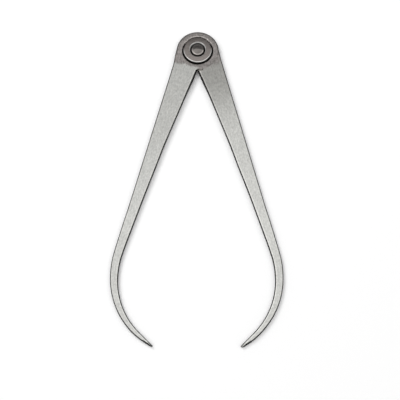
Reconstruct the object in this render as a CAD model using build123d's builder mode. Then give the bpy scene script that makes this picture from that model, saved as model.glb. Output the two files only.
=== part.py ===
from build123d import *
from math import cos, isclose, radians, sin, tan
import os

# Firm joint caliper, outside pattern, nominal 150 mm.
# Two flat bowed legs of one shape cross in a halved round head. The right leg is the left one
# turned over. A rivet through a washer on each face squeezes the two half heads together.
# The frame: origin on the pivot at the flat back end of the rivet, +Z out of the front face,
# and the points of the legs towards -Y. All sizes are millimetres and degrees.
# A leg is drawn from the pivot along +Y of its own plane, and then turned out by half_spread.

# Legs
leg_length = 150.0          # pivot centre to the end of the point
leg_thickness = 2.0         # of the blade; each half head is half of it
head_diameter = 20.8
half_spread = 7.5           # how far each leg is turned out from closed, as the caliper lies
edge_break = 0.3            # small bevel round both faces of a leg

# Outer edge of a leg
neck_flare = 0.5            # how far the edge has left the head's side at the neck
neck_drop = 6.0             # from the pivot along to that neck
neck_radius = 80.0
outer_lean = 7.55           # the straight's lean away from the pivot line
outer_bow_rise = 39.4       # the bow of the edge starts this far before the point

# Inner edge of a leg
throat_angle = 7.6          # how far past the pivot line the edge starts on the head's rim
blade_mid_drop = 52.0       # from the pivot along to the slight bend of the edge
blade_mid_width = 8.3       # blade width there
blade_mid_radius = 340.0
blade_low_width = 4.7       # blade width where the outer edge starts its bow
inner_corner_run = 19.9     # from there along the edge to the corner that the inner bow rounds
inner_bow_radius = 35.8

# Point of a leg
point_width = 1.65          # across the blunt end
point_slant = 0.65          # how much further out the blunt end's outer corner is
point_nose_radius = 0.4
point_flat_length = 1.5     # of the flats ground on both faces at the end
point_flat_depth = 0.55     # what a flat takes off its face at the end
point_bevel_length = 4.6    # of the bevels filed along the outer edge of both faces
point_bevel_width = 0.7     # measured on the face
point_bevel_depth = 0.6     # measured on the edge

# Joint
lap_clearance = 0.08        # between a half head's rim and the shoulder of the other leg
washer_diameter = 14.0
washer_thickness = 1.5
washer_rim_radius = 0.45
seat_diameter = 15.2        # shallow recess of the head round a washer
seat_depth = 0.35
seat_edge_break = 0.2
rivet_diameter = 4.8
rivet_clearance = 0.05      # radial, shank to bores
sink_diameter = 8.2         # mouth of a washer's countersink
sink_angle = 100.0          # included
rivet_seat_diameter = 6.6   # widest part of the front head, down in the countersink
rivet_head_diameter = 5.8   # rim of the front head's dome
rivet_rim_depth = 0.15      # that rim's depth below the washer's face
rivet_dome_height = 0.55    # top of the dome above its rim

# Sizes that follow
half_thickness = leg_thickness / 2
head_radius = head_diameter / 2
shank_radius = rivet_diameter / 2
bore_radius = shank_radius + rivet_clearance
sink_radius = sink_diameter / 2
sink_slope = tan(radians(sink_angle / 2))
seat_level = half_thickness - seat_depth
washer_face_level = seat_level + washer_thickness
front_height = 2 * washer_face_level

# The middle plane between the half heads, for the left leg in front and the right one behind.
# A leg bows out towards the plane's own +X, and its half head is on the plane's +Z side.
front_view = Plane(origin=(0, 0, washer_face_level), x_dir=(-1, 0, 0), z_dir=(0, 0, 1))
back_view = Plane(origin=(0, 0, washer_face_level), x_dir=(1, 0, 0), z_dir=(0, 0, -1))

# Corners of the outer edge
head_side = Vector(head_radius, 0)
neck_outer = Vector(head_radius + neck_flare, neck_drop)
outer_run = Vector(sin(radians(outer_lean)), cos(radians(outer_lean)))
inward_normal = Vector(-outer_run.Y, outer_run.X)
bow_start = neck_outer + outer_run * ((leg_length - outer_bow_rise - neck_drop) / cos(radians(outer_lean)))
point_outer = Vector(point_width, leg_length)

# Corners of the inner edge
throat = Vector(-head_radius * sin(radians(throat_angle)), head_radius * cos(radians(throat_angle)))
blade_mid_outer = neck_outer + outer_run * ((blade_mid_drop - neck_drop) / cos(radians(outer_lean)))
blade_mid = blade_mid_outer + inward_normal * blade_mid_width
blade_low = bow_start + inward_normal * blade_low_width
throat_run = (blade_mid - throat).normalized()
throat_inside = throat - throat_run * (head_radius - shank_radius)
inner_corner = blade_low + (blade_low - blade_mid).normalized() * inner_corner_run
point_inner = Vector(0, leg_length - point_slant)

# The other leg's inner edge, as it lies across this leg when the points meet
crossing_throat = Vector(-throat.X, throat.Y)
crossing_run = Vector(-throat_run.X, throat_run.Y)
crossing_side = Vector(crossing_run.Y, -crossing_run.X) * lap_clearance
crossing_start = crossing_throat + crossing_side
crossing_end = crossing_start + crossing_run * (2 * crossing_throat.X / throat_run.X)


def section_of(view):
    """The upright plane through the pivot and the view's +X, with the view's +Z as its +Y."""
    return Plane(origin=view.origin, x_dir=view.x_dir, z_dir=view.y_dir * -1)


def arcs_of(edges, radius):
    """Those of the edges that are circles or arcs of this radius."""
    return edges.filter_by(GeomType.CIRCLE).filter_by(lambda edge: isclose(edge.radius, radius))


def make_leg(middle):
    """One leg, on the middle plane as seen from its own side."""
    leg_plane = middle.moved(Rotation(0, 0, -half_spread))
    outward = Axis(middle.origin, middle.z_dir)
    upright_along = Plane(origin=middle.origin, x_dir=leg_plane.y_dir, z_dir=leg_plane.x_dir)
    with BuildPart() as leg:
        # The blank: bowed blade and round head
        with BuildSketch(leg_plane) as outline:
            with BuildLine():
                outer = FilletPolyline(head_side, neck_outer, bow_start, radius=neck_radius)
                bow = TangentArc(outer @ 1, point_outer, tangent=outer % 1)
                inner = FilletPolyline(
                    point_inner, inner_corner, blade_mid, throat_inside,
                    radius=[inner_bow_radius, blade_mid_radius],
                )
                Line(bow @ 1, inner @ 0)
                Line(inner @ 1, outer @ 0)
            make_face()
            fillet(outline.vertices().sort_by_distance(point_outer)[0], radius=point_nose_radius)
            Circle(head_radius)
        extrude(amount=half_thickness, both=True)

        # Sharp edges of both faces taken off
        chamfer(leg.faces().filter_by(leg_plane).edges(), length=edge_break)

        # Half of the head cut away for the other leg's half, with a relief beside the throat
        # where the other blade crosses this one as the points meet
        with BuildSketch(leg_plane):
            Circle(head_radius + lap_clearance)
            with BuildLine():
                Polyline(
                    crossing_start - crossing_run * shank_radius,
                    crossing_end,
                    throat - Vector(shank_radius, 0),
                    close=True,
                )
            make_face()
        extrude(amount=-leg_thickness, mode=Mode.SUBTRACT)

        # Washer seat in the outer face, and the bore
        with BuildSketch(leg_plane.offset(half_thickness)):
            Circle(seat_diameter / 2)
        extrude(amount=-seat_depth, mode=Mode.SUBTRACT)
        seat_edges = arcs_of(leg.edges(), seat_diameter / 2).sort_by(outward)
        chamfer(seat_edges[-1], length=seat_edge_break)
        with BuildSketch(leg_plane):
            Circle(bore_radius)
        extrude(amount=leg_thickness, both=True, mode=Mode.SUBTRACT)

        # Flats ground on both faces of the point
        with BuildSketch(upright_along):
            with BuildLine():
                Polyline(
                    (leg_length - point_flat_length, half_thickness),
                    (leg_length, half_thickness - point_flat_depth),
                    (leg_length, half_thickness),
                    close=True,
                )
            make_face()
            mirror(about=Plane.XZ)
        extrude(amount=inner_bow_radius, both=True, mode=Mode.SUBTRACT)

        # Bevels filed along the outer edge of the point
        bevel_start = leg_plane.from_local_coords(bow @ (1 - point_bevel_length / bow.length))
        bevel_run = leg_plane.from_local_coords(point_outer) - bevel_start
        with BuildSketch(Plane(origin=bevel_start, x_dir=bevel_run.cross(leg_plane.z_dir), z_dir=bevel_run)):
            with BuildLine():
                Polyline(
                    (-point_bevel_width, half_thickness),
                    (point_bevel_width, half_thickness),
                    (point_bevel_width, half_thickness - 2 * point_bevel_depth),
                    close=True,
                )
            make_face()
            mirror(about=Plane.XZ)
        extrude(amount=bevel_run.length, mode=Mode.SUBTRACT)
    return leg


def make_washer(middle):
    """One countersunk washer in the seat of the half head, on the middle plane's +Z side."""
    sink_depth = (sink_radius - bore_radius) / sink_slope
    outward = Axis(middle.origin, middle.z_dir)
    with BuildPart() as washer:
        with BuildSketch(section_of(middle)):
            with BuildLine():
                Polyline(
                    (bore_radius, seat_level),
                    (washer_diameter / 2, seat_level),
                    (washer_diameter / 2, washer_face_level),
                    (sink_radius, washer_face_level),
                    (bore_radius, washer_face_level - sink_depth),
                    close=True,
                )
            make_face()
        revolve(axis=outward)
        rims = arcs_of(washer.edges(), washer_diameter / 2).sort_by(outward)
        fillet(rims[-1], radius=washer_rim_radius)
    return washer


left_leg = make_leg(front_view)
right_leg = make_leg(back_view)
front_washer = make_washer(front_view)
back_washer = make_washer(back_view)

# The rivet: closed flush in the back countersink, domed in the front one
with BuildPart() as pivot_rivet:
    cone_depth = (sink_radius - shank_radius) / sink_slope
    seat_sink = (sink_diameter - rivet_seat_diameter) / 2 / sink_slope
    dome_rim = (rivet_head_diameter / 2, front_height - rivet_rim_depth)
    dome_top = (0, front_height - rivet_rim_depth + rivet_dome_height)
    with BuildSketch(Plane.XZ):
        with BuildLine():
            Polyline(
                dome_top,
                (0, 0),
                (sink_radius, 0),
                (shank_radius, cone_depth),
                (shank_radius, front_height - cone_depth),
                (rivet_seat_diameter / 2, front_height - seat_sink),
                dome_rim,
            )
            TangentArc(dome_top, dome_rim, tangent=(1, 0))
        make_face()
    revolve(axis=Axis.Z)

os.makedirs("parts", exist_ok=True)
left_leg.part.label = "left_leg"
export_step(left_leg.part, "parts/left_leg.step")
right_leg.part.label = "right_leg"
export_step(right_leg.part, "parts/right_leg.step")
front_washer.part.label = "front_washer"
export_step(front_washer.part, "parts/front_washer.step")
back_washer.part.label = "back_washer"
export_step(back_washer.part, "parts/back_washer.step")
pivot_rivet.part.label = "pivot_rivet"
export_step(pivot_rivet.part, "parts/pivot_rivet.step")
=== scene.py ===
"""Firm joint caliper: its ground steel legs, its turned joint pieces and the studio it lies in.

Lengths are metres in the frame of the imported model: +Z out of the front face, the points of the
legs towards -Y, and the pivot through the origin. The finishes and the lines of the legs' edges
are in millimetres, and so is each value whose name ends in mm.
"""

import logging
import math
from dataclasses import dataclass
from enum import Enum
from typing import Any, Iterable, Union

import bmesh
import bpy
from mathutils import Euler, Matrix, Vector


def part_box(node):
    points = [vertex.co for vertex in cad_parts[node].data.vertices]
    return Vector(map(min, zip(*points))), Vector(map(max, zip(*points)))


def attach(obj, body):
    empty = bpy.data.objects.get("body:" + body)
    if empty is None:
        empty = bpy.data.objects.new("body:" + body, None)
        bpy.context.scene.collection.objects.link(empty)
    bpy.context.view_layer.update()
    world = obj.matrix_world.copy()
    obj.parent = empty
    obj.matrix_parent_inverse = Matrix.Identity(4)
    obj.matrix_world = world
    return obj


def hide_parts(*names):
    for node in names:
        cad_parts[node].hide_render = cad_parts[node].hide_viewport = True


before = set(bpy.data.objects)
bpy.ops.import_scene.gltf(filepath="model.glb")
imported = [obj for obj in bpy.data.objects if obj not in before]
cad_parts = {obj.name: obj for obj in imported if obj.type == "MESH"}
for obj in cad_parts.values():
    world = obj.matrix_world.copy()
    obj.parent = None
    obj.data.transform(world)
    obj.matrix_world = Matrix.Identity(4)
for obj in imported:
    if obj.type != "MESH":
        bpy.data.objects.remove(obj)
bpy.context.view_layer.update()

LOG = logging.getLogger("caliper")
MM = 0.001
WELD = 0.0005 * MM
SHARP = math.radians(15.0)
WHITE = (1.0, 1.0, 1.0)

Operand = Union["Socket", float, int]
Colour = tuple[float, float, float]


class Side(Enum):
    """Which leg a thing belongs to, seen from the front. The value is the sign of its X."""

    LEFT = -1
    RIGHT = 1


class Face(Enum):
    """Which face of the head a joint piece is on. The value is the sign of its outward Z."""

    FRONT = 1
    BACK = -1


class Socket:
    """An output of a shader node that can be used in arithmetic.

    Each operation adds a Math node to the tree and gives its output back as a new Socket.
    """

    def __init__(self, tree: "Tree", output: bpy.types.NodeSocket) -> None:
        """Wraps an output.

        Args:
            tree: the tree that the output's node is in.
            output: the output itself.
        """
        self.tree = tree
        self.output = output

    def maths(self, operation: str, *operands: Operand, clamp: bool = False) -> "Socket":
        """Adds a Math node.

        Args:
            operation: the Math node's operation.
            operands: its inputs in order, sockets or numbers.
            clamp: whether the result is held between 0 and 1.

        Returns:
            The node's output.
        """
        inputs = dict(enumerate(operands))
        settings = {"operation": operation, "use_clamp": clamp}
        return self.tree.add("ShaderNodeMath", settings, inputs)

    def __add__(self, other: Operand) -> "Socket":
        """self + other."""
        return self.maths("ADD", self, other)

    def __radd__(self, other: Operand) -> "Socket":
        """other + self."""
        return self.maths("ADD", other, self)

    def __sub__(self, other: Operand) -> "Socket":
        """self - other."""
        return self.maths("SUBTRACT", self, other)

    def __rsub__(self, other: Operand) -> "Socket":
        """other - self."""
        return self.maths("SUBTRACT", other, self)

    def __mul__(self, other: Operand) -> "Socket":
        """self * other."""
        return self.maths("MULTIPLY", self, other)

    def __rmul__(self, other: Operand) -> "Socket":
        """other * self."""
        return self.maths("MULTIPLY", other, self)

    def __truediv__(self, other: Operand) -> "Socket":
        """self / other."""
        return self.maths("DIVIDE", self, other)

    def __abs__(self) -> "Socket":
        """The size of self without its sign."""
        return self.maths("ABSOLUTE", self)

    def hypot(self, other: "Socket") -> "Socket":
        """The length of the flat vector (self, other)."""
        return self.maths("SQRT", self * self + other * other)

    def turn_to(self, across: "Socket") -> "Socket":
        """The angle of the flat vector (across, self), in radians."""
        return self.maths("ARCTAN2", self, across)

    def clamp(self) -> "Socket":
        """self held between 0 and 1."""
        return self.maths("ADD", self, 0.0, clamp=True)

    def ramp(self, start: float, end: float) -> "Socket":
        """Rises smoothly from 0 to 1.

        Args:
            start: the value of self where the rise starts.
            end: the value where it ends. It may be lower than start, and the rise then falls.

        Returns:
            The risen value.
        """
        settings = {"interpolation_type": "SMOOTHSTEP", "clamp": True}
        inputs = {"Value": self, "From Min": start, "From Max": end}
        return self.tree.add("ShaderNodeMapRange", settings, inputs)

    def most(self, other: Operand) -> "Socket":
        """The larger of self and other."""
        return self.maths("MAXIMUM", self, other)

    def switch(self, share: "Socket", other: Operand) -> "Socket":
        """self where share is 0, and other where it is 1."""
        return self + (other - self) * share


class Tree:
    """The shader nodes of one material or world, which it empties first."""

    def __init__(self, owner: Any) -> None:
        """Takes over a material's or world's nodes.

        Args:
            owner: the material or world.
        """
        owner.use_nodes = True
        self.tree = owner.node_tree
        self.tree.nodes.clear()

    def make(self, kind: str, settings: dict[str, Any], inputs: dict[Any, Any]) -> bpy.types.Node:
        """Adds any node.

        Args:
            kind: the node's type.
            settings: its own settings, which are set first.
            inputs: a value or a Socket for each input, by name or number.

        Returns:
            The node.
        """
        node = self.tree.nodes.new(kind)
        for name, value in settings.items():
            setattr(node, name, value)
        for name, value in inputs.items():
            if isinstance(value, Socket):
                self.tree.links.new(value.output, node.inputs[name])
            else:
                node.inputs[name].default_value = value
        return node

    def add(self, kind: str, settings: dict[str, Any], inputs: dict[Any, Any], output: Any = 0) -> Socket:
        """Adds any node and gives one of its outputs.

        Args:
            kind: the node's type.
            settings: as in make.
            inputs: as in make.
            output: the output's name or number.

        Returns:
            That output.
        """
        return Socket(self, self.make(kind, settings, inputs).outputs[output])

    def split(self, vector: Socket) -> tuple[Socket, ...]:
        """The three parts of a vector."""
        node = self.make("ShaderNodeSeparateXYZ", {}, {"Vector": vector})
        return tuple(Socket(self, output) for output in node.outputs)

    def join(self, x: Operand, y: Operand, z: Operand) -> Socket:
        """A vector from its three parts."""
        return self.add("ShaderNodeCombineXYZ", {}, {"X": x, "Y": y, "Z": z})

    def place_mm(self) -> tuple[Socket, ...]:
        """The place on the piece in millimetres, as three numbers."""
        place = self.add("ShaderNodeTexCoord", {}, {}, "Object")
        return tuple(part * (1 / MM) for part in self.split(place))

    def facing_up(self) -> Socket:
        """How far the surface faces along Z, either way, from 0 on a wall to 1 on a face."""
        normal = self.add("ShaderNodeTexCoord", {}, {}, "Normal")
        return abs(self.split(normal)[2])

    def rays(self, *kinds: str) -> Socket:
        """1 for light paths of any of these kinds, and 0 for all others."""
        node = self.make("ShaderNodeLightPath", {}, {})
        return sum(Socket(self, node.outputs[kind]) for kind in kinds).clamp()

    def blend(self, factor: Operand, first: Any, second: Any) -> Socket:
        """Mixes two colours.

        Args:
            factor: 0 for the first colour, 1 for the second.
            first: a colour or a Socket.
            second: a colour or a Socket.

        Returns:
            The mixed colour.
        """
        settings = {"data_type": "RGBA", "clamp_factor": True}
        ends = [end if isinstance(end, Socket) else (*end, 1.0) for end in (first, second)]
        return self.add("ShaderNodeMix", settings, {"Factor": factor, 6: ends[0], 7: ends[1]}, 2)

    def tint(self, colour: Any, amount: Socket) -> Socket:
        """A colour, or a Socket that is one, times a number."""
        grey = self.join(amount, amount, amount)
        return self.add("ShaderNodeVectorMath", {"operation": "MULTIPLY"}, {0: colour, 1: grey})

    def bump(self, height: Socket) -> Socket:
        """The normal of a surface bumped by a height in millimetres."""
        return self.add("ShaderNodeBump", {}, {"Height": height, "Distance": MM, "Strength": 1.0})


def clamped(value: float) -> float:
    """A number held between 0 and 1."""
    return min(max(value, 0.0), 1.0)


def weighed(parts: Iterable[Socket], weights: Iterable[float]) -> Socket:
    """The sum of some numbers, each times its weight."""
    return sum(weight * part for part, weight in zip(parts, weights) if weight)


@dataclass(frozen=True)
class Fade:
    """A change that sets in smoothly from one value to another.

    Attributes:
        start: the value where it starts.
        end: the value where it is whole, higher or lower than start.
        amount: how large it is there.
    """

    start: float
    end: float
    amount: float = 1.0

    def of(self, value: Socket) -> Socket:
        """The change at a value in a material."""
        return value.ramp(self.start, self.end) * self.amount

    def at(self, value: float) -> float:
        """The change at a plain number."""
        share = clamped((value - self.start) / (self.end - self.start))
        return share * share * (3 - 2 * share) * self.amount


@dataclass(frozen=True)
class Band:
    """A change between two values and nowhere else.

    Attributes:
        low: the lower value.
        high: the higher value.
        blur: how far each limit is blurred either way.
        amount: how large the change is.
    """

    low: float
    high: float
    blur: float
    amount: float = 1.0

    def of(self, value: Socket) -> Socket:
        """The change at a value in a material.

        Args:
            value: the value.

        Returns:
            The change.
        """
        rise = value.ramp(self.low - self.blur, self.low + self.blur)
        fall = value.ramp(self.high + self.blur, self.high - self.blur)
        return rise * fall * self.amount


@dataclass(frozen=True)
class Pattern:
    """Noise with spots of one size.

    Attributes:
        spots: the spots to a millimetre, or to a radian of a turn, in each of three directions.
        layers: how many finer layers are on top.
        rough: how strong these are.
    """

    spots: tuple[float, float, float]
    layers: float = 3.0
    rough: float = 0.6

    def over(self, tree: Tree, *place: Socket) -> Socket:
        """The pattern's value at a place.

        Args:
            tree: the material's tree.
            place: the place in the three directions, each in millimetres or a turn in radians.

        Returns:
            A number from -0.5 to 0.5.
        """
        vector = tree.join(*(part * spots for part, spots in zip(place, self.spots)))
        inputs = {"Vector": vector, "Scale": 1.0, "Detail": self.layers, "Roughness": self.rough}
        return tree.add("ShaderNodeTexNoise", {"noise_dimensions": "3D"}, inputs, "Fac") - 0.5


@dataclass(frozen=True)
class Slopes:
    """Factors on a steel's colour by how far the surface faces along the pivot.

    The walls carry the darkest painted shade, unless it is lifted. Then come the broken edges with
    painted shade, the painted highlight beside them, and the faces with the plain colour. Each fade
    is where one gives way to the next.
    """

    # Painted shade on the walls and broken edges, and a painted highlight on the line beside them.
    wall: float = 0.05
    lifted_wall: float = 0.8
    broken: float = 0.09
    painted_highlight: float = 1.2
    wall_to_broken: Fade = Fade(0.2, 0.5)
    broken_to_highlight: Fade = Fade(0.85, 0.93)
    highlight_to_face: Fade = Fade(0.97, 0.995)

    def shade(self, tree: Tree, clean: Operand = 0.0) -> Socket:
        """The factor on the colour.

        Args:
            tree: the material's tree.
            clean: how far a wall's painted shade is lifted, from 0 to 1, or a little more for painted
                light.

        Returns:
            The factor.
        """
        # Blends by facing: painted shade on walls and broken edges, the painted highlight, the plain
        # face.
        facing = tree.facing_up()
        broken = self.wall_to_broken.of(facing)
        painted_highlight = self.broken_to_highlight.of(facing)
        face = self.highlight_to_face.of(facing)
        wall = clean * (self.lifted_wall - self.wall) + self.wall
        return (1 - broken) * wall + (broken - painted_highlight) * self.broken + (painted_highlight - face) * self.painted_highlight + face


@dataclass(frozen=True)
class SteelFinish:
    """Bare steel: a colour, a gloss and how both change over the surface."""

    colour: Colour = (0.6, 0.6, 0.575)
    slopes: Slopes = Slopes()
    roughness: float = 0.36

    def dress(self, piece: bpy.types.Object, slot: str) -> None:
        """Gives a piece this finish as its next material.

        Args:
            piece: the piece.
            slot: the material slot that the finish belongs to; it is not used.
        """
        material = bpy.data.materials.new(f"{piece.name}_{len(piece.data.materials)}")
        tree = Tree(material)
        inputs = {"Metallic": 1.0, **self.surface(tree)}
        shader = tree.add("ShaderNodeBsdfPrincipled", {}, inputs)
        tree.make("ShaderNodeOutputMaterial", {}, {"Surface": shader})
        piece.data.materials.append(material)

    def surface(self, tree: Tree) -> dict[str, Socket]:
        """What changes over the surface.

        Args:
            tree: the material's tree.

        Returns:
            A Socket for each of the shader's inputs that changes.
        """
        raise NotImplementedError


@dataclass(frozen=True)
class Straight:
    """A straight of a leg's edge, out to the leg's side and down.

    Attributes:
        lean_deg: how far it leans out from straight down.
        out_mm: its distance from the pivot.
        end_mm: where the next part of the edge starts, measured down along the straight.
    """

    lean_deg: float
    out_mm: float = 0.0
    end_mm: float = 0.0

    def past(self, out: Operand, down: Operand) -> Operand:
        """How far a place is out past the straight."""
        lean = math.radians(self.lean_deg)
        return out * math.cos(lean) - down * math.sin(lean) - self.out_mm

    def along(self, out: Operand, down: Operand) -> Operand:
        """How far a place is down along the straight."""
        lean = math.radians(self.lean_deg)
        return out * math.sin(lean) + down * math.cos(lean)


@dataclass(frozen=True)
class Trim:
    """How far a leg's edge lies inside its solid's, by the distance down, in millimetres.

    Attributes:
        steps: the changes on the way down, which add up.
    """

    steps: tuple[Fade, ...]

    def at(self, down: float) -> float:
        """The trim at a distance down."""
        return sum(step.at(down) for step in self.steps)

    def of(self, down: Socket) -> Socket:
        """The trim as part of a material."""
        return sum(step.of(down) for step in self.steps)


@dataclass(frozen=True)
class LegPlace:
    """A place on a leg in a material, in millimetres.

    Attributes:
        x: how far it is to the right of the pivot.
        y: how far it is up from the pivot, away from the points.
        height: its height.
        radius: its distance from the pivot.
        out: how far it is out to the leg's side.
        down: how far it is down from the pivot.
        outer: its distance in from the outer edge.
        along: its distance along the outer edge.
        inner: its distance in from the inner edge.
        on_blade: 1 outside the head's rim, and 0 inside it.
    """

    x: Socket
    y: Socket
    height: Socket
    radius: Socket
    out: Socket
    down: Socket
    outer: Socket
    along: Socket
    inner: Socket
    on_blade: Socket


@dataclass(frozen=True)
class LegShape:
    """The lines of a leg's edges as it lies, in millimetres, out to its side and down.

    Attributes:
        head: where the head's rim is, by the distance from the pivot.
        outer: the outer edge's straight.
        outer_bow: the radius of its bow.
        inner_top: the inner edge's upper straight.
        inner_low: its lower straight.
        inner_bow: the radius of its bow.
        inner_centre: the centre of that.
        inner_point: its straight along the point.
        meet: how one part of an edge goes over into the next.
        outer_trim: how far the outer edge lies inside the solid's.
        inner_trim: how far the inner edge does.
    """

    head: Fade = Fade(10.3, 10.4)
    outer: Straight = Straight(15.05, 10.1, 112.9)
    outer_bow: float = 37.2
    inner_top: Straight = Straight(20.84, -3.717)
    inner_low: Straight = Straight(18.535, -1.555, 110.9)
    inner_bow: float = 35.8
    inner_centre: tuple[float, float] = (-0.163, 117.025)
    inner_point: Straight = Straight(-44.62, 117.87, 83.4)
    meet: Fade = Fade(-0.01, 0.01)
    outer_trim: Trim = Trim(
        (Fade(2, 9, 0.5), Fade(80, 92, -0.17), Fade(102, 116, 0.47), Fade(141, 148.5, 0.5))
    )
    inner_trim: Trim = Trim(
        (Fade(14, 28, 0.25), Fade(58, 78, 0.23), Fade(98, 114, -0.35), Fade(134, 149, -0.33))
    )

    def place(self, tree: Tree, side: Side) -> LegPlace:
        """The place on a leg of this shape.

        Args:
            tree: the material's tree.
            side: which leg it is.

        Returns:
            The place.
        """
        x, y, height = tree.place_mm()
        radius = x.hypot(y)
        out, down = x * side.value, 0 - y
        outer, along = self.grain(out, down)
        return LegPlace(
            x=x, y=y, height=height, radius=radius, out=out, down=down, outer=outer, along=along,
            inner=self.from_inner(out, down), on_blade=self.head.of(radius),
        )

    def grain(self, out: Socket, down: Socket) -> tuple[Socket, Socket]:
        """The place measured from the outer edge and along it, round its bow.

        Args:
            out: the place's distance out.
            down: the place's distance down.

        Returns:
            The distance in from the outer edge, and the distance along it.
        """
        out = out + self.outer_trim.of(down)
        inward = 0 - self.outer.past(out, down)
        along = self.outer.along(out, down)
        past = along - self.outer.end_mm
        inside = self.outer_bow - inward
        bowed = self.meet.of(past)
        return (
            inward.switch(bowed, self.outer_bow - inside.hypot(past)),
            along.switch(bowed, self.outer_bow * past.turn_to(inside) + self.outer.end_mm),
        )

    def from_inner(self, out: Socket, down: Socket) -> Socket:
        """How far a place is from the inner edge, into the leg.

        Args:
            out: the place's distance out.
            down: the place's distance down.

        Returns:
            The distance.
        """
        out = out - self.inner_trim.of(down)
        straight = self.inner_top.past(out, down).most(self.inner_low.past(out, down))
        bowed = self.meet.of(self.inner_low.along(out, down) - self.inner_low.end_mm)
        pointed = self.meet.of(self.inner_point.along(out, down) - self.inner_point.end_mm)
        bow = (out - self.inner_centre[0]).hypot(down - self.inner_centre[1]) - self.inner_bow
        return straight.switch(bowed, bow.switch(pointed, self.inner_point.past(out, down)))


@dataclass(frozen=True)
class HeadDarkening:
    """Where the head is darker: on its right and lower parts, and with painted shade at its top and along
    its upper rim.

    Attributes:
        right: how much darker the right side is, by the distance right of the pivot.
        low: how much darker the lower part is, by the distance down.
        top: the painted shade at the top, by the distance down.
        rim: the painted shade along the rim, by the distance from the pivot.
        rim_line: what the line at its very edge adds to that.
        rim_upper: which part of the rim is so, by the distance down.
    """

    right: Fade = Fade(3.0, 9.0, 0.1)
    low: Fade = Fade(3.0, 8.0, 0.2)
    top: Fade = Fade(-4.0, -8.5, 0.18)
    rim: Fade = Fade(8.6, 10.0, 0.2)
    rim_line: Fade = Fade(9.75, 9.9, 0.5)
    rim_upper: Fade = Fade(5.0, -3.0)

    def darkened(self, place: LegPlace) -> Socket:
        """How much darker the face is on its right and lower parts, with painted shade at its top."""
        return self.right.of(place.x) + self.low.of(place.down) + self.top.of(place.down)

    def rim_factor(self, place: LegPlace) -> Socket:
        """The factor on the colour with painted shade along the upper part of the head's rim."""
        rim = self.rim.of(place.radius) + self.rim_line.of(place.radius)
        return 1 - rim * self.rim_upper.of(place.down)


@dataclass(frozen=True)
class SeatShadeAndGlint:
    """Painted shade in the gap round a washer and a painted highlight on the edge of its seat, wider
    towards the top.

    Attributes:
        gap: the gap, by the distance from the pivot.
        gap_shade: how much darker its painted shade makes it.
        gap_rough: how much rougher it is.
        top: where the upper part of the seat is, by the distance down.
        edge_start: where the edge starts, by the distance from the pivot.
        edge_end: where it ends.
        top_in_mm: how much further in it starts at the top.
        top_out_mm: how much further out it ends there.
        glint: the factor on its colour.
        top_glint: what the top adds to that.
    """

    gap: Band = Band(6.9, 7.62, 0.05)
    gap_shade: float = 0.95
    gap_rough: float = 0.3
    top: Fade = Fade(-2.0, -5.0)
    edge_start: Fade = Fade(7.59, 7.65)
    edge_end: Fade = Fade(7.88, 7.82)
    top_in_mm: float = 0.34
    top_out_mm: float = 0.15
    glint: float = 1.3
    top_glint: float = 0.7

    def on(self, shade: Socket, place: LegPlace) -> Socket:
        """Adds the seat's painted shade and highlight to a factor on the colour.

        Args:
            shade: the factor without the seat.
            place: the place on the leg.

        Returns:
            The factor with it.
        """
        # Painted highlight on the seat's edge, and painted shade in the gap round the washer.
        top = self.top.of(place.down)
        edge = self.edge_start.of(place.radius + top * self.top_in_mm)
        edge = edge * self.edge_end.of(place.radius - top * self.top_out_mm)
        gap = self.gap.of(place.radius) * (1 - edge)
        return shade.switch(edge, top * self.top_glint + self.glint) * (1 - gap * self.gap_shade)

    def roughness(self, place: LegPlace) -> Socket:
        """What the gap adds to the roughness."""
        return self.gap.of(place.radius) * self.gap_rough


@dataclass(frozen=True)
class LapPaintedLight:
    """Painted light on the lap: its walls, whose painted shade is lifted, and the start of the relief's
    floor below the head, brightened over its shadow.

    Attributes:
        inside: where a place is inside the leg's outline, by the distance in from an edge.
        low: where the lower end of the head is, by the distance down.
        shoulder: how far the shoulder wall's painted shade is lifted there, by the distance from the
            pivot.
        relief_floor: the height of the relief's floor.
        relief_glint: the painted light on that floor, by the distance from the pivot.
    """

    inside: Fade = Fade(0.1, 0.3)
    low: Fade = Fade(8.0, 9.0)
    shoulder: Band = Band(10.3, 10.5, 0.02, 1.3)
    relief_floor: Band = Band(2.05, 2.25, 0.02)
    relief_glint: Fade = Fade(12.2, 11.0, 0.3)

    def clean(self, place: LegPlace) -> Socket:
        """How far a wall's painted shade is lifted.

        Args:
            place: the place on the leg.

        Returns:
            1 on the walls inside the outline, and more on the shoulder.
        """
        # Lifts the walls' painted shade inside the outline, and more on the shoulder.
        inside = self.inside.of(place.inner) * self.inside.of(place.outer)
        shoulder = self.shoulder.of(place.radius) * self.low.of(place.down)
        return (inside * place.on_blade).most(shoulder)

    def relief_factor(self, place: LegPlace) -> Socket:
        """The factor on the colour in the relief, with painted light on its floor."""
        # Painted light on the relief's floor near the head.
        floor = self.relief_floor.of(place.height) * self.low.of(place.down)
        return floor * self.relief_glint.of(place.radius) + 1


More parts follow.
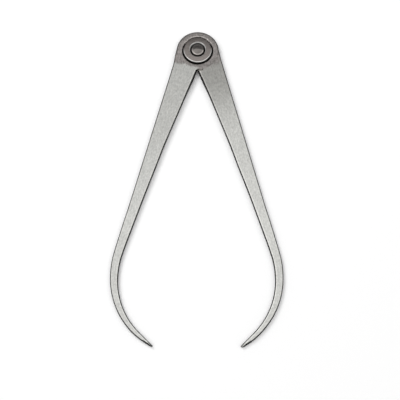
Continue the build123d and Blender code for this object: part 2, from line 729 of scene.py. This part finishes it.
@dataclass(frozen=True)
class EdgeShadeAndHighlight:
    """The painted shade along each edge of a blade, and the painted highlight beside it.

    Attributes:
        deep: where the V below the head is deep, by the distance from the pivot.
        deep_in_mm: how much further in the inner edge's lines lie there.
        off_throat: where the inner edge's painted shade starts, by the distance from the pivot.
        inner_line: the inner edge's painted shade, by the distance in from it.
        inner_shade: how much darker it is.
        deep_shade: what the deep V adds to that.
        outer_line: the outer edge's painted shade, by the distance in from it.
        outer_shade: how much darker it is.
        outer_start: where it starts, by the distance along the edge.
        painted_highlight: the painted highlight, by the distance in from an edge.
        inner_highlight: how much brighter it is along the inner edge.
        deep_highlight: the share of that which the deep V adds.
        outer_highlight: how much brighter it is along the outer edge, by the distance along it.
    """

    deep: Fade = Fade(32.0, 12.0)
    deep_in_mm: float = 0.3
    off_throat: Fade = Fade(10.45, 10.7)
    inner_line: Fade = Fade(0.46, 0.38)
    inner_shade: float = 0.85
    deep_shade: float = 0.12
    outer_line: Fade = Fade(0.61, 0.51)
    outer_shade: float = 0.78
    outer_start: Fade = Fade(4.0, 12.0)
    painted_highlight: Band = Band(0.5, 0.9, 0.05)
    inner_highlight: float = 0.3
    deep_highlight: float = 0.5
    outer_highlight: Fade = Fade(60.0, 100.0, 0.1)

    def factor(self, place: LegPlace) -> Socket:
        """The factor on the colour.

        Args:
            place: the place on the leg.

        Returns:
            The factor.
        """
        # Painted highlight beside each edge and painted shade along it, darker in the deep V below the
        # head.
        deep = self.deep.of(place.radius)
        inner = place.inner - deep * self.deep_in_mm
        painted_highlight = self.painted_highlight.of(inner) * place.on_blade * (deep * self.deep_highlight + 1) * self.inner_highlight
        painted_highlight = painted_highlight + self.painted_highlight.of(place.outer) * self.outer_highlight.of(place.along)
        line_shade = self.inner_line.of(inner) * self.off_throat.of(place.radius)
        line_shade = line_shade * (deep * self.deep_shade + self.inner_shade)
        outer = self.outer_line.of(place.outer) * self.outer_start.of(place.along)
        return (painted_highlight + 1) * (1 - line_shade) * (1 - outer * self.outer_shade)


@dataclass(frozen=True)
class GroundLeg(SteelFinish):
    """A leg's faces, ground along the blade and round its bow, with a darker head.

    Attributes:
        side: which leg it is.
        shape: the lines of its edges.
        head_colour: the colour of the head.
        neck_colour: the colour just below the head, before the blade's own, darkened with painted shade.
        neck_line: the lean of the line across which the head goes over into the neck.
        neck: where it does, down along that lean.
        blade: where the neck goes over into the blade, so that the painted shade fades down the blade.
        on_leg: where these colours are, by the distance in from the inner edge.
        streaks: the pattern of the grinding, across the outer edge, along it and up.
        grit: the finer pattern on it.
        clouds: the broad pattern, in x, y and height.
        ragged_mm: how far each pattern moves the ends of head and neck.
        mottle: how much each pattern changes the tone.
        head_mottle: the share of that which the head adds.
        gloss: how much each pattern changes the roughness.
        grain_mm: how deep each pattern is.
        bow_dark: how much darker the bow is, by the distance along the outer edge.
        filed: the least factor that the slopes' painted shade leaves on the point, by the distance from
            the pivot.
        tip_dark: how much darker the tip is, by the same distance.
        head: where the head is darker, with painted shade at its top and upper rim.
        seat: the painted shade and highlight round the washer's seat.
        lap: the painted light on the lap.
        edges: the painted shade and highlight along the blade's edges.
    """

    side: Side = Side.RIGHT
    shape: LegShape = LegShape()
    head_colour: Colour = (0.345, 0.321, 0.308)
    neck_colour: Colour = (0.378, 0.374, 0.354)
    neck_line: Straight = Straight(15.2)
    neck: Fade = Fade(8.0, 13.0)
    blade: Fade = Fade(14.0, 48.0)
    on_leg: Fade = Fade(-0.15, 0.25)
    streaks: Pattern = Pattern((2.2, 0.1, 0.3), 4.0)
    grit: Pattern = Pattern((1.5, 0.8, 1.0), 2.0)
    clouds: Pattern = Pattern((0.25, 0.25, 0.25), 3.0, 0.55)
    ragged_mm: tuple[float, float, float] = (0.0, 1.2, 2.0)
    mottle: tuple[float, float, float] = (0.3, 0.75, 0.25)
    head_mottle: float = 1.0
    gloss: tuple[float, float, float] = (0.14, 0.0, 0.08)
    grain_mm: tuple[float, float, float] = (0.004, 0.004, 0.0)
    bow_dark: Fade = Fade(90.0, 130.0, 0.09)
    filed: Fade = Fade(144.0, 145.0, 0.32)
    tip_dark: Fade = Fade(148.2, 148.8, 0.4)
    head: HeadDarkening = HeadDarkening()
    seat: SeatShadeAndGlint = SeatShadeAndGlint()
    lap: LapPaintedLight = LapPaintedLight()
    edges: EdgeShadeAndHighlight = EdgeShadeAndHighlight()

    def surface(self, tree: Tree) -> dict[str, Socket]:
        """What changes over the surface.

        Args:
            tree: the material's tree.

        Returns:
            A Socket for each of the shader's inputs that changes.
        """
        place = self.shape.place(tree, self.side)
        patterns = (
            self.streaks.over(tree, place.outer, place.along, place.height),
            self.grit.over(tree, place.outer, place.along, place.height),
            self.clouds.over(tree, place.x, place.y, place.height),
        )
        below = self.neck_line.along(place.out, place.down) + weighed(patterns, self.ragged_mm)
        on_leg = self.on_leg.of(place.inner)
        neck = self.neck.of(below) * on_leg
        head = 1 - neck
        # The neck's darker colour is painted shade, which fades into the blade's colour down the leg.
        colour = tree.blend(neck, self.head_colour, self.neck_colour)
        colour = tree.blend(self.blade.of(below) * on_leg, colour, self.colour)
        tone = 1 + weighed(patterns, self.mottle) * (head * self.head_mottle + 1)
        # The head darker on its right and lower parts, with painted shade at its top, and the darker bow.
        tone = tone - self.head.darkened(place) * head - self.bow_dark.of(place.along)
        roughness = self.roughness + weighed(patterns, self.gloss) + self.seat.roughness(place)
        return {
            "Base Color": tree.tint(colour, tone * self.painted_light_and_tip(tree, place)),
            "Roughness": roughness.clamp(),
            "Normal": tree.bump(weighed(patterns, self.grain_mm)),
        }

    def painted_light_and_tip(self, tree: Tree, place: LegPlace) -> Socket:
        """The factor on the colour: painted light and shade from slopes, edges, seat, lap and head rim,
        less shade on the filed point, and the darker tip.

        Args:
            tree: the material's tree.
            place: the place on the leg.

        Returns:
            The factor.
        """
        # Painted shade and highlights of slopes, seat, lap, edges and the head's rim, then the darker
        # tip.
        shade = self.slopes.shade(tree, self.lap.clean(place)).most(self.filed.of(place.radius))
        shade = self.seat.on(shade, place) * self.lap.relief_factor(place)
        shade = shade * self.edges.factor(place) * self.head.rim_factor(place)
        return shade * (1 - self.tip_dark.of(place.radius))


@dataclass(frozen=True)
class TurnedSteel(SteelFinish):
    """A washer's faced surface, with the fine rings of the lathe.

    Attributes:
        glint: the factor on the colour on the rounded rim's lowest part.
        glint_colour: the colour there.
        rim: where the rounded rim is, by the distance from the pivot.
        rim_low: where its lowest part is, by the distance down.
        rim_facing: where it still faces up enough to shine.
        rim_painted_light: the painted light on the rim, brighter with each millimetre down.
        rim_shade: the painted shade on the rim, by the distance from the pivot.
        shade_upper: where it is so, by the distance down.
        sink_shade: the painted shade in the countersink round the rivet, by the distance from the pivot.
        rings: the lathe's pattern, by the distance from the pivot, the turn and the height.
        clouds: the broad pattern, in x, y and height.
        mottle: how much each pattern changes the tone.
        gloss: how much each pattern changes the roughness.
        ring_mm: how deep the rings are.
    """

    colour: Colour = (0.232, 0.210, 0.199)
    slopes: Slopes = Slopes(wall=0.05, broken=0.1, painted_highlight=2.4, broken_to_highlight=Fade(0.45, 0.65))
    roughness: float = 0.32
    glint: float = 2.35
    glint_colour: Colour = (0.216, 0.212, 0.206)
    rim: Fade = Fade(6.5, 6.6)
    rim_low: Fade = Fade(1.4, 5.6)
    rim_facing: Fade = Fade(0.2, 0.35)
    rim_painted_light: float = 0.05
    rim_shade: Fade = Fade(6.45, 6.6, 0.92)
    shade_upper: Fade = Fade(1.05, -2.1)
    sink_shade: Fade = Fade(3.85, 3.65, 0.9)
    rings: Pattern = Pattern((3.0, 0.8, 1.0))
    clouds: Pattern = Pattern((0.9, 0.9, 0.9))
    mottle: tuple[float, float] = (0.3, 0.7)
    gloss: tuple[float, float] = (0.1, 0.1)
    ring_mm: float = 0.006

    def surface(self, tree: Tree) -> dict[str, Socket]:
        """What changes over the surface.

        Args:
            tree: the material's tree.

        Returns:
            A Socket for each of the shader's inputs that changes.
        """
        x, y, height = tree.place_mm()
        radius, down = x.hypot(y), 0 - y
        rings = self.rings.over(tree, radius, y.turn_to(x), height)
        patterns = (rings, self.clouds.over(tree, x, y, height))
        rim = self.rim.of(radius)
        # Painted highlight on the rounded rim's lowest part, painted light growing downwards, and painted
        # shade on the rim's upper part.
        glint = rim * self.rim_low.of(down) * self.rim_facing.of(tree.facing_up())
        shade = self.slopes.shade(tree) * (down * rim * self.rim_painted_light + 1)
        shade = shade.most(glint * self.glint)
        shade = shade * (1 - self.rim_shade.of(radius) * self.shade_upper.of(down))
        # The painted highlight takes a more neutral colour.
        colour = tree.blend((shade - 1).clamp(), self.colour, self.glint_colour)
        # Painted shade in the countersink round the rivet.
        tone = (1 + weighed(patterns, self.mottle)) * shade * (1 - self.sink_shade.of(radius))
        return {
            "Base Color": tree.tint(colour, tone),
            "Roughness": (self.roughness + weighed(patterns, self.gloss)).clamp(),
            "Normal": tree.bump(rings * self.ring_mm),
        }


@dataclass(frozen=True)
class PeenedSteel(SteelFinish):
    """The rivet's hammered and wiped dome.

    Attributes:
        tone: the factor on the colour on the middle of the dome.
        dents: the hammer's pattern, in x, y and height.
        dent_mm: how deep the dents are.
        clouds: the finer pattern, in x, y and height.
        mottle: how much the clouds change the tone.
        gloss: how much they change the roughness.
        ragged_mm: how far they move the edge of the upper part's painted shade.
        upper_lean: how much that edge drops for each millimetre to the right.
        upper_shade: the painted shade on the upper part, by the distance up.
        lower_shade: the painted shade on the lower part, by the distance up.
        painted_highlight: the painted highlight on the dome's border, by the distance from the pivot.
        highlight_all: the share of that all round.
        highlight_lower: the share that the lower part adds, by the distance up.
        dome_gap_shade: the painted shade in the gap round the dome, by the distance from the pivot.
    """

    colour: Colour = (0.23, 0.214, 0.203)
    roughness: float = 0.3
    tone: float = 1.08
    dents: Pattern = Pattern((0.9, 0.9, 0.9), 1.0, 0.5)
    dent_mm: float = 0.1
    clouds: Pattern = Pattern((1.3, 1.3, 1.3))
    mottle: float = 0.7
    gloss: float = 0.12
    ragged_mm: float = 2.0
    upper_lean: float = 0.15
    upper_shade: Fade = Fade(-0.3, 0.5, 0.5)
    lower_shade: Fade = Fade(0.5, -2.0, 0.42)
    painted_highlight: Fade = Fade(2.2, 2.6, 0.6)
    highlight_all: float = 0.4
    highlight_lower: Fade = Fade(0.5, -1.5, 1.6)
    dome_gap_shade: Fade = Fade(2.9, 3.0, 0.9)

    def surface(self, tree: Tree) -> dict[str, Socket]:
        """What changes over the surface.

        Args:
            tree: the material's tree.

        Returns:
            A Socket for each of the shader's inputs that changes.
        """
        x, y, height = tree.place_mm()
        radius = x.hypot(y)
        clouds = self.clouds.over(tree, x, y, height)
        # Painted shade on the dome's upper and lower parts, and a painted highlight on its border.
        upper = y + clouds * self.ragged_mm + x * self.upper_lean
        tone = self.tone + clouds * self.mottle - self.lower_shade.of(y) - self.upper_shade.of(upper)
        painted_highlight = self.painted_highlight.of(radius) * (self.highlight_lower.of(y) + self.highlight_all)
        # Painted shade in the gap round the dome.
        tone = tone * (1 + painted_highlight) * (1 - self.dome_gap_shade.of(radius))
        return {
            "Base Color": tree.tint(self.colour, tone),
            "Roughness": (self.roughness + clouds * self.gloss).clamp(),
            "Normal": tree.bump(self.dents.over(tree, x, y, height) * self.dent_mm),
        }


def shown(name: str, shape: bmesh.types.BMesh, smooth: bool = True) -> bpy.types.Object:
    """Puts a finished mesh in the scene.

    Args:
        name: the new object's name.
        shape: the mesh, which is freed.
        smooth: whether its faces are shaded smooth.

    Returns:
        The object, at the origin.
    """
    mesh = bpy.data.meshes.new(name)
    for face in shape.faces:
        face.smooth = smooth
    shape.to_mesh(mesh)
    shape.free()
    piece = bpy.data.objects.new(name, mesh)
    bpy.context.scene.collection.objects.link(piece)
    return piece


@dataclass
class Leg:
    """One leg with its edges rounded over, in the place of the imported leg.

    Attributes:
        node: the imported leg's name.
        body: the body that it moves with.
        finish: its steel, with the lines of its edges.
        flat_deg: up to which angle neighbouring faces become one.
        head_radius: the radius of the head.
        edge_break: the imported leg's small bevel round both faces.
        lap_clearance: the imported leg's gap between a half head and the other leg's shoulder.
        lap_line: what is left of that gap here.
        shoulder_near: how far off the shoulder's radius a point still belongs to it.
        rim_near: how far off the broken rim's radius a point still belongs to it.
        lap_near: how far off the closed lap a point still belongs to it.
        lap_end: how far from the pivot the relief reaches at most.
        lap_inside_mm: how far inside the leg's outline the relief's edges lie at least.
        cuts: a length, and how often the longer edges are cut so that the trim can bend them.
        facing_blur: how far a point's faces have to look out or in to put it on that edge.
        point_start_mm: how far down the place across the point, not its faces, starts to say it.
        point_width_mm: the point's width.
        point_end: how far from the pivot the blunt end starts.
        rounding: the width of the rounding.
        rounding_steps: how many faces it has.
    """

    node: str
    body: str
    finish: GroundLeg
    flat_deg: float = 0.3
    head_radius: float = 10.4 * MM
    edge_break: float = 0.3 * MM
    lap_clearance: float = 0.08 * MM
    lap_line: float = 0.01 * MM
    shoulder_near: float = 0.01 * MM
    rim_near: float = 0.02 * MM
    lap_near: float = 0.004 * MM
    lap_end: float = 18.0 * MM
    lap_inside_mm: float = 0.4
    cuts: tuple[tuple[float, int], ...] = ((20.0 * MM, 15), (6.0 * MM, 3))
    facing_blur: float = 0.05
    point_start_mm: float = 144.0
    point_width_mm: float = 1.4
    point_end: float = 149.0 * MM
    rounding: float = 0.08 * MM
    rounding_steps: int = 3

    def build(self) -> bpy.types.Object:
        """Builds and dresses the leg.

        Returns:
            The leg's object.
        """
        shape = bmesh.new()
        shape.from_mesh(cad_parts[self.node].data)
        bmesh.ops.remove_doubles(shape, verts=shape.verts, dist=WELD)
        bmesh.ops.dissolve_limit(
            shape, angle_limit=math.radians(self.flat_deg), use_dissolve_boundaries=False,
            verts=shape.verts, edges=shape.edges, delimit=set(),
        )
        self.close_lap(shape)
        self.slim(shape)
        self.mark_edges(shape)
        piece = shown(f"{self.node}_ground", shape)
        bevel = piece.modifiers.new("edge_rounding", "BEVEL")
        bevel.width = self.rounding
        bevel.segments = self.rounding_steps
        bevel.limit_method = "WEIGHT"
        bevel.use_clamp_overlap = False
        bevel.harden_normals = True
        self.finish.dress(piece, "leg_steel")
        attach(piece, self.body)
        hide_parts(self.node)
        return piece

    def lies_mm(self, place: Vector) -> tuple[float, float]:
        """How far a place is out to the leg's side and down, in millimetres."""
        return place.x * self.finish.side.value / MM, -place.y / MM

    def close_lap(self, shape: bmesh.types.BMesh) -> None:
        """Makes the joint's line as fine as it looks.

        The shoulder's wall moves in to a hair's breadth from the other leg's half head, and the
        half head's rim loses its broken edge where that shoulder lies against it.

        Args:
            shape: the leg's mesh.
        """
        shoulder = self.head_radius + self.lap_clearance
        broken = self.head_radius - self.edge_break
        for vert in shape.verts:
            radius = vert.co.xy.length
            if abs(radius - shoulder) < self.shoulder_near:
                vert.co.xy *= (self.head_radius + self.lap_line) / shoulder
            elif abs(radius - broken) < self.rim_near and self.faces_shoulder(vert.co):
                vert.co.xy *= self.head_radius / radius

    def faces_shoulder(self, place: Vector) -> bool:
        """Whether a place on the rim of the head lies against the other leg's shoulder."""
        out, down = self.lies_mm(place)
        return out < 0 < down

    def slim(self, shape: bmesh.types.BMesh) -> None:
        """Moves the blade's two edges in by their trims.

        Args:
            shape: the leg's mesh.
        """
        for shortest, cuts in self.cuts:
            edges = [edge for edge in shape.edges if edge.calc_length() > shortest]
            bmesh.ops.subdivide_edges(shape, edges=edges, cuts=cuts, use_grid_fill=True)
        shape.normal_update()
        lines, sign = self.finish.shape, self.finish.side.value
        head_end = self.head_radius + 2 * self.lap_clearance
        blade = [vert for vert in shape.verts if vert.co.xy.length > head_end]
        facings = [sign * sum(face.normal.x for face in vert.link_faces) for vert in blade]
        for vert, facing in zip(blade, facings):
            out, down = self.lies_mm(vert.co)
            share = clamped((facing / self.facing_blur + 1) / 2)
            if down > self.point_start_mm:
                share = clamped(lines.inner_point.past(out, down) / self.point_width_mm)
            trim = (1 - share) * lines.inner_trim.at(down) - share * lines.outer_trim.at(down)
            vert.co.x += trim * MM * sign

    def mark_edges(self, shape: bmesh.types.BMesh) -> None:
        """Marks the sharp edges, and rounds those that aren't part of the lap or the point's end.

        Args:
            shape: the leg's mesh.
        """
        weight = shape.edges.layers.float.new("bevel_weight_edge")
        for edge in shape.edges:
            edge.smooth = edge.calc_face_angle(0.0) < SHARP
            kept = any(
                self.on_lap(vert.co) or vert.co.xy.length > self.point_end for vert in edge.verts
            )
            edge[weight] = 0.0 if edge.smooth or kept else 1.0

    def on_lap(self, place: Vector) -> bool:
        """Whether a place is on the shoulder's line or in the relief beside the throat.

        Args:
            place: the place on the leg.

        Returns:
            Whether it is.
        """
        radius = place.xy.length
        out, down = self.lies_mm(place)
        lines = self.finish.shape
        inside = min(lines.inner_top.past(out, down), -lines.outer.past(out, down))
        on_shoulder = abs(radius - self.head_radius - self.lap_line) < self.lap_near
        on_rim = abs(radius - self.head_radius) < self.lap_near and self.faces_shoulder(place)
        in_blade = inside > self.lap_inside_mm and down > 0
        return on_shoulder or on_rim or (self.head_radius < radius < self.lap_end and in_blade)


def arc(
    centre: tuple[float, float], radius: float, start_deg: float, end_deg: float, steps: int
) -> list[tuple[float, float]]:
    """Points along an arc of a section.

    Args:
        centre: its centre as (radius, height).
        radius: its own radius.
        start_deg: the angle of its first point.
        end_deg: the angle of its last point.
        steps: how many parts it is divided into.

    Returns:
        The points.
    """
    turn = (end_deg - start_deg) / steps
    angles = [math.radians(start_deg + turn * step) for step in range(steps + 1)]
    return [(centre[0] + radius * math.cos(a), centre[1] + radius * math.sin(a)) for a in angles]


@dataclass
class Turned:
    """A piece of the joint turned about the pivot, spun from half of its section.

    Attributes:
        segments: how many parts the turn is divided into.
        mouth: the radius of the washers' countersinks at the face.
        sink_deg: their angle from side to side.
    """

    segments: int = 160
    mouth: float = 4.1 * MM
    sink_deg: float = 100.0

    def sink_depth(self, radius: float) -> float:
        """The depth below a washer's face at which the countersink has a radius."""
        return (self.mouth - radius) / math.tan(math.radians(self.sink_deg / 2))

    def spin(self, name: str, outline: Iterable[tuple[float, float]]) -> bpy.types.Object:
        """Spins a closed half section.

        Args:
            name: the new object's name.
            outline: the section's corners as (radius, height).

        Returns:
            The object.
        """
        shape = bmesh.new()
        ring = [shape.verts.new((radius, 0.0, height)) for radius, height in outline]
        edges = [shape.edges.new(pair) for pair in zip(ring, ring[1:] + ring[:1])]
        bmesh.ops.spin(
            shape, geom=ring + edges, cent=(0.0, 0.0, 0.0), axis=(0.0, 0.0, 1.0),
            angle=math.tau, steps=self.segments, use_merge=True, use_duplicate=False,
        )
        bmesh.ops.remove_doubles(shape, verts=shape.verts, dist=WELD)
        bmesh.ops.recalc_face_normals(shape, faces=shape.faces)
        for edge in shape.edges:
            edge.smooth = edge.calc_face_angle(0.0) < SHARP
        return shown(name, shape)


@dataclass
class Washer(Turned):
    """A countersunk washer: slightly crowned face, rounded rim, and a broken sink edge.

    Attributes:
        face: which face of the head it is on.
        node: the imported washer's name.
        finish: its steel.
        crown: how much lower the face is at the rim.
        rim: the radius of the rounded rim.
        rim_end_deg: the angle at which that goes over into the face.
        rim_steps: how many parts it is divided into.
        mouth_break: the width and depth of the broken sink edge.
        bore: the radius of the bore.
    """

    face: Face = Face.FRONT
    node: str = "front_washer"
    finish: SteelFinish = TurnedSteel()
    crown: float = 0.1 * MM
    rim: float = 0.45 * MM
    rim_end_deg: float = -85.0
    rim_steps: int = 10
    mouth_break: tuple[float, float] = (0.08 * MM, 0.03 * MM)
    bore: float = 2.45 * MM

    def build(self) -> bpy.types.Object:
        """Builds and dresses the washer.

        Returns:
            The washer's object.
        """
        low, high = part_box(self.node)
        radius, thickness = (high.x - low.x) / 2, high.z - low.z
        outer = high.z if self.face is Face.FRONT else low.z
        break_width, break_depth = self.mouth_break
        outline = [(self.bore, thickness), (radius, thickness)]
        rim_centre = (radius - self.rim, self.crown + self.rim)
        outline += arc(rim_centre, self.rim, 0.0, self.rim_end_deg, self.rim_steps)
        outline += [(self.mouth + break_width, 0.0), (self.mouth, break_depth)]
        outline += [(self.bore, self.sink_depth(self.bore))]
        corners = [(r, outer - self.face.value * depth) for r, depth in outline]
        piece = self.spin(f"{self.node}_turned", corners)
        self.finish.dress(piece, "washer_steel")
        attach(piece, "left")
        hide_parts(self.node)
        return piece


@dataclass
class Rivet(Turned):
    """The pivot rivet: domed and peened in front, closed flush behind.

    Attributes:
        node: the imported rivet's name.
        finish: its steel.
        shank: the radius of the shank.
        seat: the widest radius of the front head, down in the countersink.
        dome: the radius of the dome's rim.
        dome_height: the height of the dome above its rim.
        dome_steps: how many parts the dome is divided into.
    """

    node: str = "pivot_rivet"
    finish: SteelFinish = PeenedSteel()
    shank: float = 2.4 * MM
    seat: float = 3.3 * MM
    dome: float = 2.9 * MM
    dome_height: float = 0.55 * MM
    dome_steps: int = 14

    def build(self) -> bpy.types.Object:
        """Builds and dresses the rivet.

        Returns:
            The rivet's object.
        """
        low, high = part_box(self.node)
        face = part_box("front_washer")[1].z
        cone = self.sink_depth(self.shank)
        dome_radius = (self.dome ** 2 + self.dome_height ** 2) / (2 * self.dome_height)
        half_deg = math.degrees(math.asin(self.dome / dome_radius))
        outline = [(0.0, low.z), (self.mouth, low.z), (self.shank, low.z + cone)]
        outline += [(self.shank, face - cone), (self.seat, face - self.sink_depth(self.seat))]
        dome_centre = (0.0, high.z - dome_radius)
        outline += arc(dome_centre, dome_radius, 90 - half_deg, 90, self.dome_steps)
        piece = self.spin(f"{self.node}_peened", outline)
        self.finish.dress(piece, "rivet_steel")
        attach(piece, "left")
        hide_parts(self.node)
        return piece


@dataclass(frozen=True)
class Panel:
    """A rectangle of light overhead with soft sides.

    Attributes:
        light: its strength.
        left: its left side, by the slope of the direction to the right of straight up.
        right: its right side.
        near: its side towards the points, by the slope away from them.
        far: its side towards the head.
    """

    light: float
    left: Fade
    right: Fade
    near: Fade
    far: Fade

    def glow(self, across: Socket, along: Socket) -> Socket:
        """The light from a direction, given by its two slopes."""
        width = self.left.of(across) * self.right.of(across)
        return width * self.near.of(along) * self.far.of(along) * self.light


@dataclass
class Studio:
    """Pale floor, soft light and the camera that matches the photograph.

    Attributes:
        look_at: the place at the middle of the picture.
        distance: how far the camera is from there.
        tilt_deg: how far it leans towards the head from straight above.
        turn_deg: how far it is turned.
        focal_px: its focal length in pixels.
        frame_px: the width of the picture in pixels.
        sensor_mm: the width of its sensor.
        clip: how near the camera sees.
        floor_half: half of the floor's side.
        heel: how far inside its rim the back washer touches the floor.
        throat_mm: the place in y round which the floor's glow is held back.
        floor_glow: the glow, by the distance from there in millimetres.
        panel: the broad white panel.
        glare: the stronger light in it.
        room_light: the light from everywhere.
        wall_light: what metal mirrors of the walls, by how steep the direction is.
        lowest_rise: how steep a direction is at least taken to be for the panels.
        key_watts: the power of the key.
        key_size: its side.
        key_place: where it stands.
    """

    look_at: tuple[float, float, float] = (1.54 * MM, -78.0 * MM, 1.15 * MM)
    distance: float = 0.4996
    tilt_deg: float = 20.0
    turn_deg: float = 0.278
    focal_px: float = 1060.0
    frame_px: float = 400.0
    sensor_mm: float = 36.0
    clip: float = 0.01
    floor_half: float = 0.25
    heel: float = 0.45 * MM
    throat_mm: float = -15.0
    floor_glow: Fade = Fade(3.0, 9.0, 0.17)
    panel: Panel = Panel(1.04, Fade(-1.6, -1.2), Fade(1.3, 1.0), Fade(-1.2, -0.8), Fade(0.75, 0.42))
    glare: Panel = Panel(0.88, Fade(-1.0, -0.7), Fade(-0.1, -0.4), Fade(-0.6, -0.3), Fade(0.25, 0.0))
    room_light: float = 0.21
    wall_light: Fade = Fade(0.7, 0.45, 0.4)
    lowest_rise: float = 0.05
    key_watts: float = 3.8
    key_size: float = 0.4
    key_place: tuple[float, float, float] = (-0.5, 0.45, 0.85)

    def build(self) -> None:
        """Builds the floor, the light and the camera."""
        self.build_floor()
        self.build_world()
        self.build_key()
        self.build_camera()
        bpy.context.scene.view_settings.view_transform = "Standard"

    def build_floor(self) -> None:
        """A pale floor that the back washer's lower rim and both points touch."""
        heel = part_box("back_washer")[0].y + self.heel
        leg_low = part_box("right_leg")[0]
        slope = math.atan2(leg_low.z, heel - leg_low.y)
        shape = bmesh.new()
        bmesh.ops.create_grid(shape, x_segments=1, y_segments=1, size=self.floor_half)
        turn = Matrix.Rotation(-slope, 4, "X")
        bmesh.ops.transform(shape, matrix=Matrix.Translation((0, heel, 0)) @ turn, verts=shape.verts)
        floor = shown("floor", shape, smooth=False)
        self.dress_floor(floor)

    def dress_floor(self, floor: bpy.types.Object) -> None:
        """Gives the floor its white, part of which is a glow that the lamps don't see.

        Args:
            floor: the floor.
        """
        material = bpy.data.materials.new("pale_floor")
        tree = Tree(material)
        x, y, _ = tree.place_mm()
        share = self.floor_glow.of(x.hypot(y - self.throat_mm))
        beneath = tree.add("ShaderNodeNewGeometry", {}, {}, "Backfacing")
        seen = tree.rays("Is Camera Ray", "Is Glossy Ray", "Is Transmission Ray")
        matt = {"Roughness": 1.0, "Specular IOR Level": 0.0, "Emission Strength": 1.0}
        white = tree.tint(WHITE, 1 - share)
        glow = tree.tint(WHITE, seen * (share + beneath))
        inputs = {**matt, "Base Color": white, "Emission Color": glow}
        shader = tree.add("ShaderNodeBsdfPrincipled", {}, inputs)
        tree.make("ShaderNodeOutputMaterial", {}, {"Surface": shader})
        floor.data.materials.append(material)

    def build_world(self) -> None:
        """A dim room with a broad white ceiling panel, and white to the camera."""
        world = bpy.data.worlds.new("studio")
        bpy.context.scene.world = world
        tree = Tree(world)
        x, y, z = tree.split(tree.add("ShaderNodeTexCoord", {}, {}, "Generated"))
        rise = z.most(self.lowest_rise)
        across, along = x / rise, y / rise
        light = self.panel.glow(across, along) + self.glare.glow(across, along) + self.room_light
        light = light + self.wall_light.of(z) * tree.rays("Is Glossy Ray")
        strength = light.switch(tree.rays("Is Camera Ray"), 1.0)
        inputs = {"Color": (*WHITE, 1.0), "Strength": strength}
        shader = tree.add("ShaderNodeBackground", {}, inputs)
        tree.make("ShaderNodeOutputWorld", {}, {"Surface": shader})

    def build_key(self) -> None:
        """A square lamp at the upper left, which shapes the shadows and isn't mirrored."""
        data = bpy.data.lights.new("key", "AREA")
        data.size = self.key_size
        data.energy = self.key_watts
        lamp = bpy.data.objects.new("key", data)
        lamp.location = self.key_place
        aim = Vector(self.look_at) - Vector(self.key_place)
        lamp.rotation_euler = aim.to_track_quat("-Z", "Y").to_euler()
        lamp.visible_glossy = False
        bpy.context.scene.collection.objects.link(lamp)

    def build_camera(self) -> None:
        """The photograph's camera: above the points' side, leaning towards the head."""
        data = bpy.data.cameras.new("camera")
        data.sensor_width = self.sensor_mm
        data.lens = self.sensor_mm * self.focal_px / self.frame_px
        data.clip_start = self.clip
        camera = bpy.data.objects.new("camera", data)
        turn = Euler((math.radians(self.tilt_deg), 0.0, math.radians(self.turn_deg)))
        back = turn.to_matrix() @ Vector((0.0, 0.0, self.distance))
        camera.location = Vector(self.look_at) + back
        camera.rotation_euler = turn
        bpy.context.scene.collection.objects.link(camera)
        bpy.context.scene.camera = camera


def main() -> None:
    """Builds and dresses every piece, and sets up the studio."""
    logging.basicConfig(level=logging.INFO, format="%(name)s: %(message)s")
    left_steel = GroundLeg(
        side=Side.LEFT, colour=(0.585, 0.585, 0.562), neck_colour=(0.53, 0.53, 0.508),
        neck=Fade(8.2, 9.9), blade=Fade(20.0, 90.0), edges=EdgeShadeAndHighlight(outer_shade=0.68, inner_highlight=0.12),
    )
    right_shape = LegShape(
        outer_trim=Trim(
            (Fade(2, 9, 0.06), Fade(80, 92, -0.2), Fade(102, 116, 0.49), Fade(138, 148.5, -0.35))
        ),
        inner_trim=Trim(
            (Fade(14, 28, 0.45), Fade(58, 78, 0.43), Fade(98, 116, -0.42), Fade(134, 149, 0.1))
        ),
    )
    right_steel = GroundLeg(side=Side.RIGHT, neck=Fade(7.0, 11.5), shape=right_shape)
    pieces = [
        Leg("left_leg", "left", left_steel),
        Leg("right_leg", "right", right_steel),
        Washer(face=Face.FRONT, node="front_washer"),
        Washer(face=Face.BACK, node="back_washer"),
        Rivet(),
    ]
    for piece in pieces:
        made = piece.build()
        LOG.info("%s has %d faces", made.name, len(made.data.polygons))
    Studio().build()


if __name__ == "__main__":
    main()
